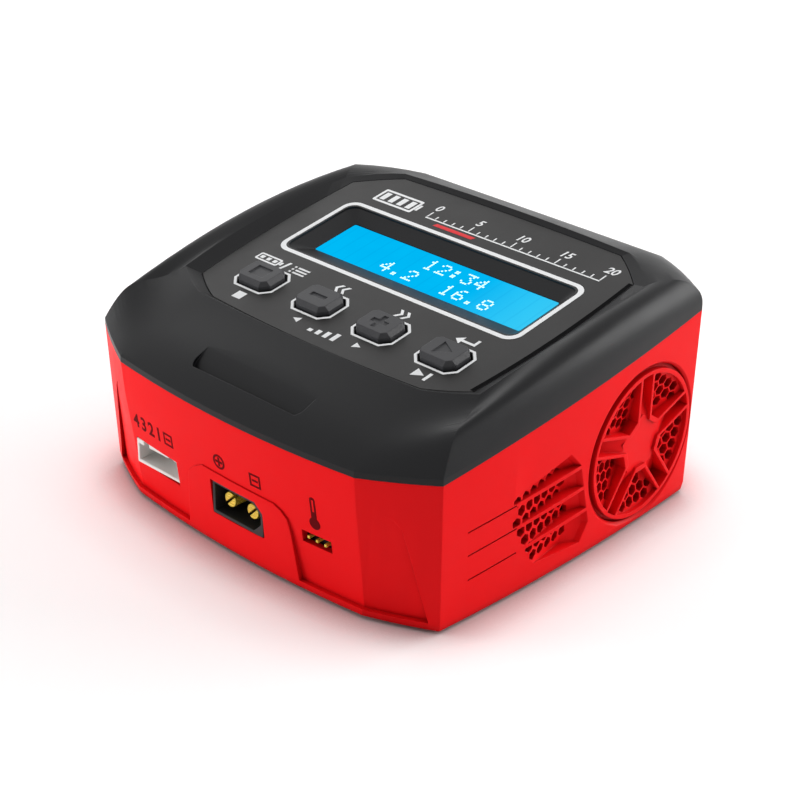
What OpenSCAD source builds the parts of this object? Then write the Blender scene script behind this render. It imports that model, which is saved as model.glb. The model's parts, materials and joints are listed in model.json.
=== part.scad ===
// Desk-top balance charger for model batteries: a red lower case with three sockets, a side
// vent and a fan grille, and a black wedge-shaped cover with a display and four keys.
// Millimetres. X runs to the right, -Y is the front with the sockets, Z is up from the table.

/* [Case outline] */
// width across the middle of the two sides
case_w = 109; // [104:0.5:120]
// depth across the middle of front and back
case_d = 104; // [100:0.5:114]
// width of the front face between its two creases
front_w = 73.4; // [68:0.2:80]
// depth of a side face between its two creases
side_d = 82.6; // [78:0.2:88]
// how far the front and back faces bow out
front_bow = 2.2; // [0.5:0.1:3]
// how far the side faces bow out
side_bow = 1.6; // [0.5:0.1:2.5]
// how far the corner facets bow out
corner_bow = 0.3; // [0:0.05:0.8]
// height of the seam between case and cover at mid depth
seam_h = 40.3; // [38:0.1:44]
// slope of the seam, rising to the back
seam_tilt = 7.2; // [5:0.1:9]
// height of the upright band of the cover above the seam
band_h = 1.5; // [0.8:0.1:3]
// wall thickness of case and cover
wall = 2; // [1.6:0.1:2.6]
// thickness of the floor
floor_t = 2; // [1.6:0.1:3]
// how far the front and back lean in at the bottom
front_draft = 2.3; // [1:0.1:3]
// how far the sides lean in at the bottom
side_draft = 1.2; // [0.5:0.1:2.5]
// chamfer round the bottom edge
edge_chamfer = 0.4; // [0.2:0.1:2]
// height of that chamfer
edge_rise = 2; // [1:0.1:3]
// clearance between pieces that fit into each other
fit_gap = 0.15; // [0.05:0.05:0.3]

/* [Cover top] */
// height of the printed plate at mid depth
plate_h = 47.9; // [46:0.1:50]
// slope of the plate, rising to the back
plate_tilt = 9.26; // [7:0.1:11]
// width of the plate at its middle
plate_w = 88; // [84:0.2:92]
// width of the straight front edge of the plate
plate_front_w = 64.8; // [60:0.2:70]
// width of the straight back edge of the plate
plate_back_w = 67; // [62:0.2:72]
// distance from mid depth to the front edge of the plate
plate_front = 26.4; // [25:0.1:28]
// distance from mid depth to the back edge of the plate
plate_back = 36.8; // [35:0.1:38]
// thickness of the printed plate
face_t = 0.5; // [0.3:0.1:1]
// thickness of the cover under the plate
deck_t = 1.8; // [1.4:0.1:2.4]
// width of the sloping rim at the front
rim_front = 2.1; // [1:0.1:3]
// width of the sloping rim at the sides
rim_side = 2.7; // [1.5:0.1:4]
// width of the sloping rim at the back
rim_back = 1.2; // [0.5:0.1:2]
// width of the finger scoop in the front slope
scoop_w = 34; // [26:1:40]
// radius of the ends of the finger scoop
scoop_end = 2.4; // [1:0.2:4]
// depth of the finger scoop
scoop_depth = 1.9; // [0.5:0.1:2.2]

/* [Display and keys] */
// sideways place of the display
lcd_x = -0.2; // [-2:0.1:1]
// place of the display along the plate
lcd_v = 9.8; // [8.5:0.1:11]
// width of the display well at the plate
well_w = 70.6; // [66:0.2:71.4]
// height of the display well at the plate
well_h = 22.6; // [20:0.2:25]
// radius of the corners of the display well
well_r = 2.6; // [1:0.1:4]
// width of the lit window
lit_w = 63.4; // [58:0.2:65]
// height of the lit window
lit_h = 13.5; // [12:0.1:16]
// how far the lit window lies toward the back of the well
lit_shift = 1.45; // [0:0.05:2.4]
// depth of the lit window below the plate
lit_depth = 3; // [2.6:0.1:4]
// sideways place of the middle of the key row
key_mid = 0.1; // [-1:0.1:1.5]
// spacing of the keys
key_pitch = 18.93; // [17:0.01:19.5]
// place of the key row along the plate
key_v = -15.15; // [-16.5:0.05:-14]
// width of a key
key_w = 10.4; // [9:0.1:11]
// height of a key along the plate
key_h = 8.2; // [7:0.1:9]
// corner cut of a key
key_cut = 1.9; // [1.3:0.1:2.6]
// slope of the edge of a key toward its top
key_slope = 0.8; // [0.4:0.1:1.2]
// height of a key above the plate
key_rise = 2.1; // [1:0.1:3]
// travel of a key
key_travel = 0.5; // [0.3:0.05:0.7]
// clearance round a key in its hole
key_gap = 0.3; // [0.2:0.05:0.5]
// distance from the plate down to the top of the control board
control_depth = 8.2; // [7.6:0.1:9]

/* [Sockets] */
// sideways place of the output socket
out_x = 1.4; // [-2:0.1:4]
// height of the middle of the output socket
out_z = 12.5; // [12:0.1:15]
// width of the output socket
out_w = 16; // [15:0.1:17]
// height of the output socket
out_h = 8.1; // [7.6:0.1:9]
// spacing of the two output pins
out_pitch = 7.2; // [6.8:0.1:7.6]
// sideways place of the balance socket
bal_x = -27.1; // [-29:0.1:-25]
// height of the middle of the balance socket
bal_z = 12.2; // [12:0.1:15]
// width of the balance socket
bal_w = 15.1; // [14:0.1:16]
// height of the balance socket
bal_h = 6; // [5.5:0.1:6.5]
// spacing of the balance pins
bal_pitch = 2.5; // [2:0.1:2.8]
// sideways place of the sensor header
sens_x = 24.7; // [23:0.1:27]
// height of the sensor pins
sens_z = 13.8; // [13:0.1:15]
// width of the sensor slot
sens_w = 8.1; // [8:0.1:9.5]
// height of the sensor slot
sens_h = 2.9; // [2.6:0.1:3.6]
// depth of the recessed front panel at its foot
panel_depth = 1.2; // [0.4:0.1:1.4]

/* [Fan and vent] */
// gap between the fan and the back crease of the side
fan_edge = 2.4; // [1.6:0.1:3.4]
// gap between the fan and the floor
fan_lift = 0.8; // [0.4:0.1:1.6]
// outer size of the fan frame
fan_size = 34; // [30:0.5:36]
// thickness of the fan
fan_t = 10; // [8:0.5:12]
// distance from the edge of the fan to its screws
fan_hole_in = 2.6; // [2.4:0.1:3]
// how far the round opening reaches past the fan
grille_margin = 1.5; // [0.8:0.1:1.6]
// width and depth of the sloping mouth round the grille
mouth = 0.8; // [0.4:0.1:1.2]
// depth of the grille
grille_t = 5; // [4:0.5:5.5]
// width of the channels between the cups
channel_w = 3.6; // [2.4:0.2:4.4]
// place of the side vent along the side
vent_y = -9.5; // [-11:0.5:-8]
// height of the middle of the side vent
vent_z = 15; // [14:0.5:17]
// depth of the side vent at its back end
vent_depth = 2.6; // [2:0.2:3.8]

/* [Inside] */
// thickness of the circuit boards
board_t = 1.6; // [1.2:0.2:2]
// gap between the main board and the left wall
board_side = 14.5; // [13:0.5:16]
// gap between the main board and the fan
board_fan = 1.5; // [1.4:0.1:3]
// distance from the front of the case to the main board
board_front_in = 8; // [8:0.5:10]
// distance from the back of the case to the main board
board_back_in = 13.6; // [13.4:0.2:16]
// distance of the front case screws from the side
screw_side_in = 10.5; // [9.5:0.5:11]
// distance of the front case screws from the front
screw_front_in = 16; // [15:0.5:17]
// sideways place of the back case screws
screw_back_x = 33; // [32:0.5:34]
// distance of the back case screws from the back
screw_back_in = 8.7; // [8:0.1:9]
// radius of the case screw shank
screw_r = 1.5; // [1.2:0.1:1.6]
// radius of a rubber foot
foot_r = 5; // [4:0.5:5.5]
// height of a foot below the case
foot_proud = 0.8; // [0.4:0.1:1.5]
// depth of the seat of a foot
foot_seat = 1; // [0.6:0.1:1.2]

/* [Hidden] */
$fn = 48;
n_front = 12;
n_corner = 4;
n_side = 12;
n_dome = 20;
scoop_lip = 0.3;
scoop_low = 0.37;
scoop_fade = 0.745;
seam_slope = tan(seam_tilt);
plate_slope = tan(plate_tilt);
front_x = front_w / 2;
front_y = case_d / 2 - front_bow;
side_x = case_w / 2 - side_bow;
side_y = side_d / 2;
facet_angle = atan2(front_y - side_y, side_x - front_x);
front_k = tan(facet_angle / 2);
side_k = tan((90 - facet_angle) / 2);
side_lean = atan(side_draft / seam_h);
deck_bottom = face_t + deck_t;
board_top = out_z - out_h / 2;
board_z = board_top - board_t;
thread_gap = 0.05;
key_x = [for (k = [-1.5:1.5]) key_mid + k * key_pitch];
flange_top = deck_bottom + 0.2;
flange_t = 0.8;
flange_out = 1.1;
key_wall = 0.9;
icon_depth = 0.35;
icon_box = [4.6, 3.6];
icon_line = 1.3;
key_top_cut = key_cut / 2;
plunger_top = flange_top + flange_t + 0.2;
switch_top = plunger_top + key_travel + 0.7;
plunger_r = 1.7;
plunger_len = 2.7;
switch_size = 6;
control_x = 40.5;
control_front = 23;
control_back = 30;
post_x = 38;
post_front = 20;
post_back = 27;
lit_r = 0.5;
frame_w = 72;
frame_h = 26;
glass_t = 1.1;
meet_drop = 6;
head_r = 2.8;
head_h = 2;
out_cut = 2.2;
out_low_cut = 0.4;
out_rim = 0.75;
panel_top = 26.7;
shield_top = 19.2;
plinth_h = 1.8;
fan_y = side_y - fan_edge - fan_size / 2;
fan_z = floor_t + fan_lift + fan_size / 2;
fan_holes = fan_size - 2 * fan_hole_in;
grille_r = fan_size / 2 + grille_margin;
fan_face = case_w / 2 - grille_t - 2.4;
fan_back = fan_face - fan_t;
rotor_r = fan_size / 2 - 1.7;
hub_r = 8;
shaft_r = 1;
shaft_gap = 0.03;
board_left = -(case_w / 2 - board_side);
board_right = fan_back - board_fan;
board_front = -(case_d / 2 - board_front_in);
board_back = case_d / 2 - board_back_in;
board_cut = 7;
standoff_r = 2.8;
stand_in = 5;
stand_pts = [[board_left + stand_in, board_front + 11], [board_right - stand_in, board_front + 11],
             [board_left + stand_in, board_back - stand_in], [board_right - stand_in, board_back - stand_in]];
screw_front = [case_w / 2 - screw_side_in, -(case_d / 2 - screw_front_in)];
screw_back = [screw_back_x, case_d / 2 - screw_back_in];
case_pts = [screw_front, [-screw_front[0], screw_front[1]], screw_back, [-screw_back[0], screw_back[1]]];
post_r = 4;
foot_in = 11;
foot_pts = [[screw_front[0] - foot_in, screw_front[1]], [foot_in - screw_front[0], screw_front[1]],
            [37, screw_back[1] - 13], [-37, screw_back[1] - 13]];
inlet_x = -16;
inlet_w = 22;
inlet_h = 14;
inlet_len = 17;
inlet_depth = 12;
inlet_pitch = 8.6;
inlet_z = board_top + inlet_h / 2;
vent_fins = [-4.2, 1.8, 7.5];
// height, left end, right end and slope of four levels of the vent
vent_rows = [[-10.2, -8, 11.6, -0.09], [-7, -9.6, 14.2, 0], [6.8, -14.2, 10.3, 0.2], [11.3, -15.5, 6.8, 0.2]];
vent_hexes = [for (row = [-4:4], col = [-5:4]) let (v = 2.55 * row, u = 2.9 * (col + abs(row % 2) / 2))
    if (u > -9.4 - 0.34 * v && u < 7.4 - 0.22 * v && v > -9.2 - 0.09 * u && v < 10.3 + 0.2 * u) [u, v]];
fin_t = 0.9;
fin_angle = 3;
dark = [0.12, 0.12, 0.13];
red = [0.86, 0.09, 0.1];
steel = [0.72, 0.73, 0.75];
gold = [0.85, 0.66, 0.25];
green = [0.1, 0.36, 0.22];
copper = [0.72, 0.4, 0.2];
pale = [0.93, 0.93, 0.9];

// heights of the two sloping planes and places on the leaning walls
function seam_z(y) = seam_h + seam_slope * y;
function plate_z(y) = plate_h + plate_slope * y;
function wall_y(x, z) = -(case_d / 2 - front_bow * pow(x / front_x, 2)
    - front_draft * (1 - z / seam_z(-case_d / 2)));
function back_y(x, z) = case_d / 2 - front_bow * pow(x / front_x, 2)
    - front_draft * (1 - z / seam_z(case_d / 2));
function wall_x(y, z) = case_w / 2 - side_bow * pow(y / side_y, 2) - side_draft * (1 - z / seam_z(y));
function side_yaw(y) = atan(2 * side_bow * y / pow(side_y, 2));

// closed rings through nine guide points from the middle of the front to the middle of the back
function mx(p) = [-p[0], p[1], p[2]];
function quad(p, m, q, t) = p * (1 - t) * (1 - 2 * t) + m * 4 * t * (1 - t) + q * t * (2 * t - 1);
function arc(p, m, q, n) = [for (i = [0:n - 1]) quad(p, m, q, i / n)];
function ring(k) = concat(
    arc(mx(k[1]), k[0], k[1], n_front), arc(k[1], k[2], k[3], n_corner),
    arc(k[3], k[4], k[5], n_side), arc(k[5], k[6], k[7], n_corner),
    arc(k[7], k[8], mx(k[7]), n_front), arc(mx(k[7]), mx(k[6]), mx(k[5]), n_corner),
    arc(mx(k[5]), mx(k[4]), mx(k[3]), n_side), arc(mx(k[3]), mx(k[2]), mx(k[1]), n_corner));
function corner(p, q, sy) = [(p[0] + q[0]) / 2 + corner_bow * sin(facet_angle),
    (p[1] + q[1]) / 2 + sy * corner_bow * cos(facet_angle)];
function half_outline(i, j) = [[0, case_d / 2 - i], [front_x - front_k * i, front_y - i],
    [side_x - j, side_y - side_k * j], [case_w / 2 - j, 0]];
function flip(p) = [p[0], -p[1]];
function outline(i, j) = let (h = half_outline(i, j))
    [flip(h[0]), flip(h[1]), corner(flip(h[1]), flip(h[2]), -1), flip(h[2]), h[3],
     h[2], corner(h[1], h[2], 1), h[1], h[0]];
function plate_outline(g) = let (
    pf = [plate_front_w / 2 - g, -plate_front + g], sf = [plate_w / 2 - 1.7 - g, -plate_front + 5.4 + g],
    sb = [plate_w / 2 - 0.6 - g, plate_back - 8 - g], pb = [plate_back_w / 2 - g, plate_back - g])
    [[0, -plate_front - 1.2 + g], pf, corner(pf, sf, -1), sf, [plate_w / 2 - g, 3], sb,
     corner(sb, pb, 1), pb, [0, plate_back + 0.6 - g]];
rim_out = [[0, -rim_front], [rim_front, -rim_front], [rim_side, -rim_front],
    [rim_side + 0.6, -rim_front + 0.2], [rim_side, 0], [rim_side, 0], [rim_side - 0.6, rim_back],
    [rim_back, rim_back], [0, rim_back]];
rim_rise = [1.9, 1.7, 1.75, 1.75, 2.25, 0.4, 0.45, 0.5, 0.8];
shoulder = [0.6, 0.5, 0.8, 1.34, 1.07, 0.8, 0.7, 0.55, 0.2];
lean = [0.28, 0.28, 0.34, 0.4, 0, 0, 0, 0, 0];
crown = [1.5, 0.5, 0.4, 0.3, 6.76, 6, 4, 1.9, 1];
function at_level(k, z) = [for (p = k) [p[0], p[1], z]];
function at_seam(k, dz) = [for (p = k) [p[0], p[1], seam_z(p[1]) + dz]];
function at_plate(k, dz) = [for (p = k) [p[0], p[1], plate_z(p[1]) + dz]];
function ridge() = let (k = plate_outline(0)) [for (i = [0:8])
    [k[i][0] + rim_out[i][0], k[i][1] + rim_out[i][1],
     plate_z(k[i][1] + rim_out[i][1]) + rim_rise[i]]];
function bez(a, b, c, d, t) = a * pow(1 - t, 3) + b * 3 * t * pow(1 - t, 2)
    + c * 3 * t * t * (1 - t) + d * pow(t, 3);
function dome_point(p, q, i, t) = let (d = q - p)
    bez(p, p + [lean[i] * d[0], lean[i] * d[1], shoulder[i] * d[2]], q - 0.55 * d + [0, 0, crown[i]], q, t);
function dome(t) = let (a = at_seam(outline(0, 0), band_h), b = ridge())
    [for (i = [0:8]) dome_point(a[i], b[i], i, t)];

// solid skinned over a stack of rings, each counter-clockwise seen from the last one
function middle(r) = [for (a = [0:2]) [for (p = r) p[a]] * [for (p = r) 1 / len(r)]];
module skin(rings) {
  n = len(rings[0]);
  m = len(rings);
  points = concat([for (r = rings) each r], [middle(rings[0]), middle(rings[m - 1])]);
  sides = [for (k = [0:m - 2], i = [0:n - 1]) let (j = (i + 1) % n)
      each [[k * n + i, (k + 1) * n + i, (k + 1) * n + j], [k * n + i, (k + 1) * n + j, k * n + j]]];
  ends = [for (i = [0:n - 1]) let (j = (i + 1) % n)
      each [[n * m, i, j], [n * m + 1, (m - 1) * n + j, (m - 1) * n + i]]];
  polyhedron(points, concat(sides, ends));
}
module lift() translate([0, 0, foot_proud]) children();
module on_plate() lift() translate([0, 0, plate_h]) rotate([plate_tilt, 0, 0]) children();
module on_side(y, z) translate([wall_x(y, z), y, z]) rotate([0, side_lean, side_yaw(y)])
    rotate([90, 0, 90]) children();
module block(x, y, z, w, d, h) translate([x - w / 2, y - d / 2, z]) cube([w, d, h]);
module forward(x, y, z, length) translate([x, y, z]) rotate([90, 0, 0]) linear_extrude(length) children();
module oct(w, h, c) polygon(oct_points(w, h, c));
function oct_points(w, h, c) = [[-w / 2 + c, -h / 2], [w / 2 - c, -h / 2], [w / 2, -h / 2 + c],
    [w / 2, h / 2 - c], [w / 2 - c, h / 2], [-w / 2 + c, h / 2], [-w / 2, h / 2 - c], [-w / 2, -h / 2 + c]];
function raised(k, z) = [for (p = k) [p[0], p[1], z]];
function box_points(w, h, r, x, y) = [
    for (q = [[1, 1, 0], [-1, 1, 90], [-1, -1, 180], [1, -1, 270]], i = [0:6])
      [x + q[0] * (w / 2 - r) + r * cos(q[2] + 15 * i), y + q[1] * (h / 2 - r) + r * sin(q[2] + 15 * i)]];

// lower case
module case_skin(foot_in, seam_out)
  skin([ring(at_level(outline(front_draft + foot_in, side_draft + foot_in), 0)),
        ring(at_seam(outline(-seam_out, -seam_out), 0))]);
module base_outer()
  skin([ring(at_level(outline(front_draft + edge_chamfer, side_draft + edge_chamfer), 0)),
        ring(at_level(outline(front_draft, side_draft), edge_rise)),
        ring(at_seam(outline(0, 0), 0))]);
module base_cavity()
  skin([ring(at_level(outline(front_draft + wall, side_draft + wall), floor_t)),
        ring(at_seam(outline(wall, wall), 1))]);
module output_shape(g, low_cut) polygon([[-out_w / 2 - g, -out_h / 2 - g],
    [out_w / 2 + g - low_cut, -out_h / 2 - g], [out_w / 2 + g, -out_h / 2 - g + low_cut],
    [out_w / 2 + g, out_h / 2 + g - out_cut], [out_w / 2 + g - out_cut, out_h / 2 + g],
    [-out_w / 2 - g, out_h / 2 + g]]);
module panel_cut() {
  rate = panel_depth / (panel_top - plinth_h);
  difference() {
    forward(0, -case_d / 2 + 14, 0, 16) difference() {
      polygon([[-49.5, plinth_h], [49.5, plinth_h], [46.9, panel_top - 11.7], [45.2, panel_top - 3.2],
               [43.7, panel_top - 1.3], [40.6, panel_top], [-40.6, panel_top], [-43.7, panel_top - 1.3],
               [-45.2, panel_top - 3.2], [-46.9, panel_top - 11.7]]);
      polygon([[-16.3, 0], [-14.5, shield_top - 3.8], [-12.2, shield_top - 1.6], [-9.2, shield_top],
               [13.3, shield_top - 0.4], [15.4, shield_top - 1.4], [17, shield_top - 3],
               [17.8, shield_top - 6.2], [19.3, 0]]);
    }
    case_skin(rate * panel_top, rate * (seam_z(-case_d / 2) - panel_top));
  }
}
module socket_holes() {
  forward(out_x, -case_d / 2 + 12, out_z, 16) output_shape(fit_gap, out_low_cut);
  forward(bal_x, -case_d / 2 + 12, bal_z, 16)
    square([bal_w + 2 * fit_gap, bal_h + 2 * fit_gap], center = true);
  forward(sens_x, -case_d / 2 + 12, sens_z, 16) square([sens_w, sens_h], center = true);
  translate([inlet_x, 0, inlet_z]) rotate([-90, 0, 0])
    linear_extrude(case_d) square([inlet_w + 2 * fit_gap, inlet_h + 2 * fit_gap], center = true);
}
function vent_ring(r) = [for (p = [[r[1], 0.8], [r[2], 0.8], [r[2] - 1.6, -0.5 * vent_depth],
    [r[2] - 3.6, -0.85 * vent_depth], [r[2] - 5.4, -vent_depth]]) [p[0], r[0] + r[3] * p[0], p[1]]];
module vent_fin_set(t, from, to, depth)
  for (v = vent_fins) rotate(fin_angle) translate([from, v - t / 2, -depth]) cube([to - from, t, depth + 1]);
module vent_cut() {
  difference() {
    union() {
      skin([for (r = vent_rows) vent_ring(r)]);
      for (p = vent_hexes) translate([p[0], p[1], -8]) rotate(30) cylinder(r = hex_r, h = 8, $fn = 6);
    }
    vent_fin_set(fin_t, -16, 16, 12);
  }
  vent_fin_set(0.35, -24, -10, 0.9);
}
module case_posts()
  for (p = case_pts) translate([p[0], p[1], 0]) cylinder(r = post_r, h = seam_z(p[1]) - meet_drop);
module fan_corners(r, length)
  for (a = [-1, 1], b = [-1, 1])
    translate([fan_face, fan_y + a * fan_holes / 2, fan_z + b * fan_holes / 2])
      rotate([0, 90, 0]) cylinder(r = r, h = length, $fn = 24);
module inner_posts() {
  case_posts();
  for (p = stand_pts) translate([p[0], p[1], 0]) cylinder(r = standoff_r, h = board_z);
  fan_corners(1.8, 6);
  on_side(vent_y, vent_z) translate([-5, -13, -vent_depth - 0.9]) cube([20.5, 27, vent_depth + 0.9]);
}
module base_case() lift() color(red) difference() {
  base_outer();
  difference() {
    base_cavity();
    inner_posts();
  }
  panel_cut();
  socket_holes();
  on_side(vent_y, vent_z) vent_cut();
  on_side(fan_y, fan_z) translate([0, 0, -grille_t - 1])
    cylinder(r = grille_r, h = grille_t + 4, $fn = 96);
  on_side(fan_y, fan_z) translate([0, 0, -mouth])
    cylinder(r1 = grille_r, r2 = grille_r + 2 * mouth, h = 2 * mouth, $fn = 96);
  for (p = case_pts) {
    translate([p[0], p[1], -1]) cylinder(r = screw_r + 0.2, h = 2 * seam_h);
    translate([p[0], p[1], -1]) cylinder(r = head_r + 0.2, h = head_h + 1.5);
  }
  for (p = stand_pts) translate([p[0], p[1], floor_t]) cylinder(r = 1 + thread_gap, h = board_z);
  fan_corners(0.9 + thread_gap, 4);
  for (p = foot_pts) translate([p[0], p[1], -1]) cylinder(r = foot_r + fit_gap, h = foot_seat + 1);
}

// round grille: five cups with hexagonal holes round a five-sided hub
function cup_points(c, h, r) = let (b = 36 - asin(c / r), t = h * tan(36) - c / cos(36))
    concat([[h, -t]], [for (i = [-4:4]) r * [cos(b * i / 4), sin(b * i / 4)]], [[h, t]]);
cup_in = 5.4;
cup_wall = 0.7;
cup_rim = grille_r - 1.9;
cup_side = channel_w / 2 + cup_wall;
rim_depth = 0.7;
hub_depth = 3.4;
hub_sink = 0.6;
hex_r = 1.32;
hex_pitch = 2.72;
cup_hex = [for (row = [0:3], col = [-3:3])
    let (x = cup_in + 2.3 + 0.86 * hex_pitch * row, y = hex_pitch * (col + row % 2 / 2))
    if (abs(y) < x * tan(36) - cup_side / cos(36) - 0.4 && norm([x, y]) < cup_rim - 0.5) [x, y]];
module cup_mouth() polygon(cup_points(cup_side, cup_in + 1.2, cup_rim));
module cup() difference() {
  translate([0, 0, -grille_t]) linear_extrude(grille_t)
    polygon(cup_points(channel_w / 2, cup_in, grille_r - 1.4));
  intersection() {
    translate([0, 0, -grille_t]) linear_extrude(grille_t + 1) cup_mouth();
    rotate_extrude($fn = 96)
      polygon([[2, 2], [grille_r, 2], [grille_r, -rim_depth], [2, -hub_depth]]);
  }
  translate([0, 0, -grille_t - 1]) linear_extrude(grille_t + 1) intersection() {
    cup_mouth();
    for (p = cup_hex) translate(p) circle(r = hex_r, $fn = 6);
  }
}
module ramp() rotate([90, 0, 0]) linear_extrude(channel_w + 0.2, center = true)
  polygon([[cup_in - 2, -grille_t], [cup_in - 2, -hub_sink], [cup_in + 1, -hub_sink],
           [grille_r - 1.6, -grille_t + 0.6], [grille_r - 1.6, -grille_t]]);
module fan_grille() lift() color(red) on_side(fan_y, fan_z) {
  difference() {
    union() {
      translate([0, 0, -grille_t]) cylinder(r = grille_r - fit_gap, h = grille_t - 1.5, $fn = 96);
      translate([0, 0, -grille_t]) cylinder(r = grille_r - 0.9, h = grille_t, $fn = 96);
    }
    translate([0, 0, -grille_t - 1]) cylinder(r = grille_r - 1.7, h = grille_t + 2, $fn = 96);
  }
  for (k = [0:4]) {
    rotate(54 + 72 * k) cup();
    rotate(18 + 72 * k) ramp();
  }
  translate([0, 0, -grille_t]) rotate(18)
    cylinder(r = (cup_in + 0.4) / cos(36), h = grille_t - hub_sink, $fn = 5);
}

// black cover
module cover_outer() {
  plate = plate_outline(0);
  skin(concat([ring(at_seam(outline(0, 0), 0))],
              [for (i = [0:n_dome]) ring(dome(i / n_dome))],
              [ring(at_plate(plate, 0)), ring(at_plate(plate, -face_t))]));
}
module cover_cavity()
  skin([ring(at_seam(outline(wall, wall), -1)), ring(at_seam(outline(wall, wall), band_h)),
        ring(at_plate(plate_outline(0.5), -deck_bottom))]);
module cover_posts(from, to)
  for (p = case_pts) translate([p[0], p[1], seam_z(p[1]) + from]) cylinder(r = 3.4, h = to - from);
module scoop() {
  a = at_seam(outline(0, 0), band_h)[0];
  b = ridge()[0];
  lip = dome_point(a, b, 0, scoop_lip);
  fade = dome_point(a, b, 0, scoop_fade);
  bed = [for (i = [0:10]) dome_point(a, b, 0, scoop_low + (scoop_fade - scoop_low) * i / 10)
      - [0, 0, scoop_depth * pow(1 - i / 10, 2)]];
  intersection() {
    rotate([90, 0, 90]) linear_extrude(scoop_w, center = true)
      polygon(concat([[lip[1], lip[2] + 0.2]], [for (q = bed) [q[1], q[2]]],
                     [[fade[1], fade[2] + 5], [lip[1], lip[2] + 5]]));
    translate([0, lip[1], 0]) linear_extrude(case_d) {
      for (s = [-1, 1]) translate([s * (scoop_w / 2 - scoop_end), scoop_end]) circle(r = scoop_end);
      translate([-scoop_w / 2 + scoop_end, 0]) square([scoop_w - 2 * scoop_end, case_d]);
      translate([-scoop_w / 2, scoop_end]) square([scoop_w, case_d]);
    }
  }
}
module key_holes(g) for (x = key_x) translate([x, key_v, -4]) linear_extrude(8)
    oct(key_w + 2 * g, key_h + 2 * g, key_cut);
module top_cover() color(dark) difference() {
  union() {
    lift() difference() {
      cover_outer();
      difference() {
        cover_cavity();
        cover_posts(-1, 12);
      }
      scoop();
    }
    lift() cover_posts(-meet_drop, 0.5);
    on_plate() for (x = [-post_x, post_x], v = [-post_front, post_back])
      translate([x, v, -control_depth]) cylinder(r = 2.4, h = control_depth - face_t - 0.6);
  }
  on_plate() {
    block(lcd_x, lcd_v, -4, frame_w + 0.6 + 2 * fit_gap, frame_h + 0.6 + 2 * fit_gap, 5);
    key_holes(key_gap);
    for (x = [-post_x, post_x], v = [-post_front, post_back])
      translate([x, v, -control_depth - 1]) cylinder(r = 1 + thread_gap, h = 6);
  }
  lift() for (p = case_pts) translate([p[0], p[1], seam_z(p[1]) - meet_drop - 1])
    cylinder(r = screw_r + thread_gap, h = 10);
}
module faceplate() color(dark) difference() {
  lift() skin([ring(at_plate(plate_outline(fit_gap), -face_t)), ring(at_plate(plate_outline(fit_gap), 0))]);
  on_plate() {
    translate([0, 0, -2]) linear_extrude(4) polygon(box_points(well_w, well_h, well_r, lcd_x, lcd_v));
    key_holes(key_gap);
  }
}

// display
module lcd_bezel() color(dark) on_plate() difference() {
  block(lcd_x, lcd_v, -lit_depth, frame_w + 0.6, frame_h + 0.6, lit_depth - face_t);
  skin([raised(box_points(lit_w, lit_h, lit_r, lcd_x, lcd_v + lit_shift), -lit_depth - 0.01),
        raised(box_points(well_w, well_h, well_r, lcd_x, lcd_v), -face_t + 0.01)]);
}
module lcd_glass() color([0.1, 0.6, 0.9]) on_plate()
  block(lcd_x, lcd_v + lit_shift, -lit_depth - glass_t, lit_w + 3, lit_h + 3, glass_t);
module lcd_frame() color(steel) on_plate() difference() {
  block(lcd_x, lcd_v, -control_depth, frame_w, frame_h, control_depth - lit_depth);
  block(lcd_x, lcd_v + lit_shift, -lit_depth - glass_t - 1, lit_w + 3.2, lit_h + 3.2, glass_t + 2);
  block(lcd_x, lcd_v, -control_depth - 1, frame_w - 2, frame_h - 2, control_depth - lit_depth - glass_t + 1);
}
module lcd_backlight() color(pale) on_plate()
  block(lcd_x, lcd_v, -control_depth, frame_w - 2.4, frame_h - 2.4, control_depth - lit_depth - glass_t);

// keys, switches and control board
module key_body(x) translate([x, key_v, 0]) {
  foot = oct_points(key_w, key_h, key_cut);
  top = oct_points(key_w - 2 * key_slope, key_h - 2 * key_slope, key_top_cut);
  skin([raised(foot, -flange_top), raised(foot, key_wall), raised(top, key_rise)]);
  translate([0, 0, -flange_top - flange_t]) linear_extrude(flange_t)
    oct(key_w + 2 * flange_out, key_h + 2 * flange_out, key_cut + flange_out / 2);
  translate([0, 0, -plunger_top]) cylinder(r = 2, h = plunger_top - flange_top);
}
module key(x) on_plate() difference() {
  key_body(x);
  translate([x, key_v, key_rise - icon_depth]) linear_extrude(1) children();
}
module stop_key() color(dark) key(key_x[0]) square(icon_box, center = true);
module minus_key() color(dark) key(key_x[1]) square([icon_box[0], icon_line], center = true);
module plus_key() color(dark) key(key_x[2]) {
  square([icon_box[0], icon_line], center = true);
  square([icon_line, icon_box[0]], center = true);
}
module start_key() color(dark) key(key_x[3])
  polygon([[-1.7, -icon_box[0] / 2], [2.3, 0], [-1.7, icon_box[0] / 2]]);
module plunger(x) color(pale) on_plate() translate([x, key_v, -plunger_top - plunger_len])
  cylinder(r = plunger_r, h = plunger_len);
module stop_plunger() plunger(key_x[0]);
module minus_plunger() plunger(key_x[1]);
module plus_plunger() plunger(key_x[2]);
module start_plunger() plunger(key_x[3]);
module switch_bodies() color(dark) on_plate() for (x = key_x) difference() {
  block(x, key_v, -control_depth, switch_size, switch_size, control_depth - switch_top);
  translate([x, key_v, -plunger_top - plunger_len - key_travel - 0.4]) cylinder(r = plunger_r + 0.3, h = 6);
}
module switch_covers() color(steel) on_plate() for (x = key_x) difference() {
  block(x, key_v, -switch_top, switch_size, switch_size, 0.3);
  translate([x, key_v, -switch_top - 1]) cylinder(r = plunger_r + 0.4, h = 3);
}
module control_board() color(green) on_plate() difference() {
  translate([-control_x, -control_front, -control_depth - board_t])
    cube([2 * control_x, control_front + control_back, board_t]);
  for (x = [-post_x, post_x], v = [-post_front, post_back])
    translate([x, v, -control_depth - 3]) cylinder(r = 1 + thread_gap, h = 5);
}
under = -control_depth - board_t;
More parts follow.
